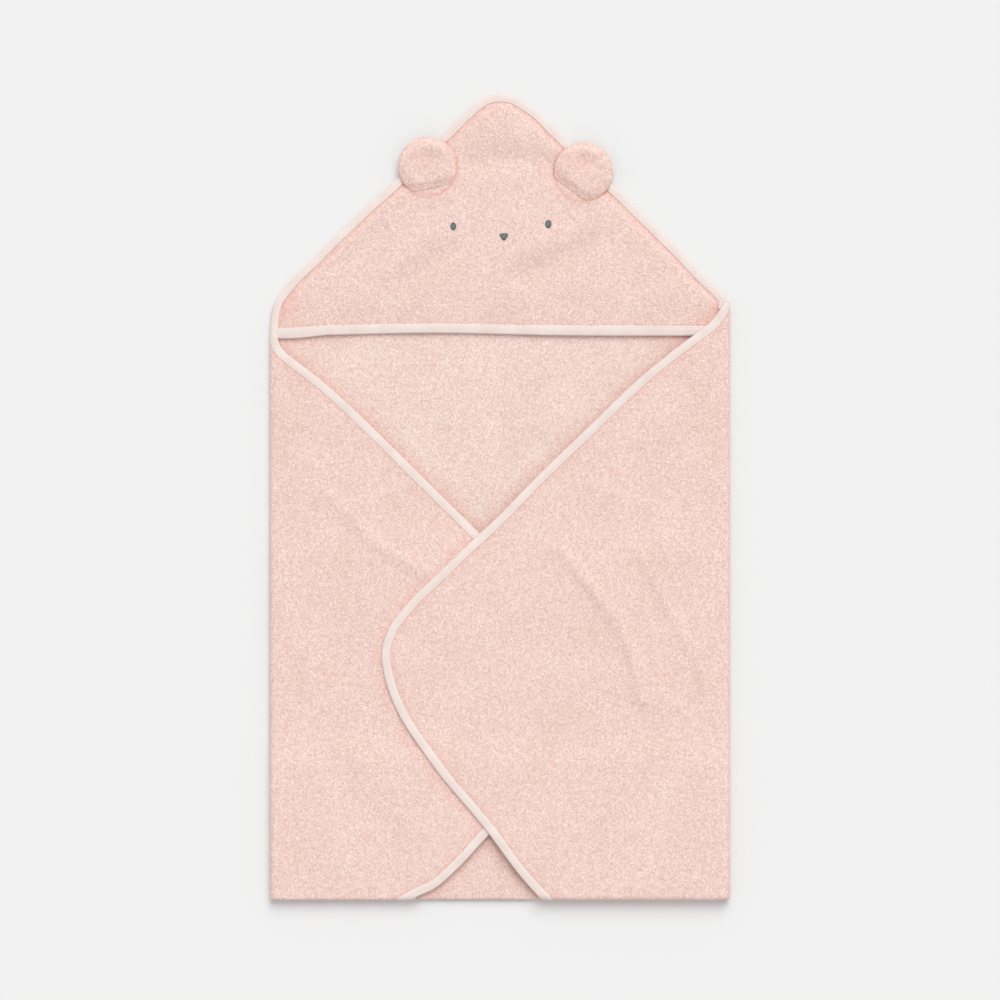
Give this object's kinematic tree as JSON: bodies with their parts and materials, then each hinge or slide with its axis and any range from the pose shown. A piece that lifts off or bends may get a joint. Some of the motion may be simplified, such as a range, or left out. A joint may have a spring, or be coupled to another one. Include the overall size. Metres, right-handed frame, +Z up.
{
  "type": "hooded baby towel",
  "caption": "Square terry baby towel with a triangular bear hood, round ears and taped edges, folded flat: side flaps cross over a turned-up tail.",
  "frame": {"origin": "middle of the folded towel's footprint, on the surface it lies on", "axes": "+Y towards the hood's peak, +Z up out of the towel's face, +X towards the right-hand fold as seen from above"},
  "size_m": [0.4134, 0.7244, 0.0136],
  "materials": {
    "terry": "pale pink looped cotton terry, matt and soft",
    "inner_terry": "the same terry on its inner face, slightly creamier",
    "binding": "smooth cream jersey tape, matt",
    "thread": "fine cream sewing thread",
    "embroidery": "dark grey embroidery thread, satin stitch with a slight sheen"
  },
  "bodies": {
    "back": {"back_panel": "inner_terry", "tail_fold": "terry", "left_side_fold": "terry", "right_side_fold": "terry", "hood_panel": "terry", "hood_mouth_binding": "binding", "hood_mouth_seam": "thread", "hood_binding": "binding", "hood_seam": "thread", "left_eye": "embroidery", "right_eye": "embroidery", "nose": "embroidery"},
    "tail": {"tail_panel": "terry", "tail_binding": "binding", "tail_seam": "thread"},
    "left_flap": {"left_flap_panel": "terry", "left_flap_binding": "binding", "left_flap_seam": "thread", "left_flap_end_fold": "terry"},
    "left_tuck": {"left_tuck_panel": "terry", "left_tuck_binding": "binding", "left_tuck_seam": "thread"},
    "right_flap": {"right_flap_panel": "terry", "right_flap_binding": "binding", "right_flap_seam": "thread", "right_flap_end_fold": "terry"},
    "right_tuck": {"right_tuck_panel": "terry", "right_tuck_binding": "binding", "right_tuck_seam": "thread"},
    "left_ear": {"left_ear_back": "terry", "left_ear_front": "terry"},
    "right_ear": {"right_ear_back": "terry", "right_ear_front": "terry"}
  },
  "joints": [
    {"name": "right_flap_open", "type": "hinge", "parent": "back", "child": "right_flap", "pos_m": [0.20666, 0, 0.0068], "axis": [0, 1, 0], "range_deg": [0, 179.9], "deforming": ["right_side_fold"]},
    {"name": "left_flap_open", "type": "hinge", "parent": "back", "child": "left_flap", "pos_m": [-0.20666, 0, 0.0054], "axis": [0, -1, 0], "range_deg": [0, 179.9], "deforming": ["left_side_fold", "left_flap_panel", "left_flap_binding", "left_flap_seam"]},
    {"name": "tail_open", "type": "hinge", "parent": "back", "child": "tail", "pos_m": [0, -0.36221, 0.0026], "axis": [1, 0, 0], "range_deg": [0, 179.9], "deforming": ["tail_fold", "tail_panel", "tail_binding", "tail_seam"]},
    {"name": "left_tuck_open", "type": "hinge", "parent": "left_flap", "child": "left_tuck", "pos_m": [-0.15, -0.36221, 0.0082], "axis": [-1, 0, 0], "range_deg": [0, 179.9], "deforming": ["left_flap_end_fold", "left_tuck_panel", "left_tuck_binding", "left_tuck_seam"]},
    {"name": "right_tuck_open", "type": "hinge", "parent": "right_flap", "child": "right_tuck", "pos_m": [0.15, -0.36221, 0.0096], "axis": [-1, 0, 0], "range_deg": [0, 179.9], "deforming": ["right_flap_end_fold", "right_tuck_panel", "right_tuck_binding", "right_tuck_seam"]},
    {"name": "left_ear_lift", "type": "hinge", "parent": "back", "child": "left_ear", "pos_m": [-0.06109, 0.27709, 0.007], "axis": [0.9816, 0.1908, 0], "range_deg": [0, 120]},
    {"name": "right_ear_lift", "type": "hinge", "parent": "back", "child": "right_ear", "pos_m": [0.06266, 0.27584, 0.007], "axis": [0.7986, -0.6018, 0], "range_deg": [0, 120]}
  ],
  "couplings": [
    {"joint": "left_tuck_open", "follows": "tail_open", "ratio": 1},
    {"joint": "right_tuck_open", "follows": "tail_open", "ratio": 1}
  ]
}
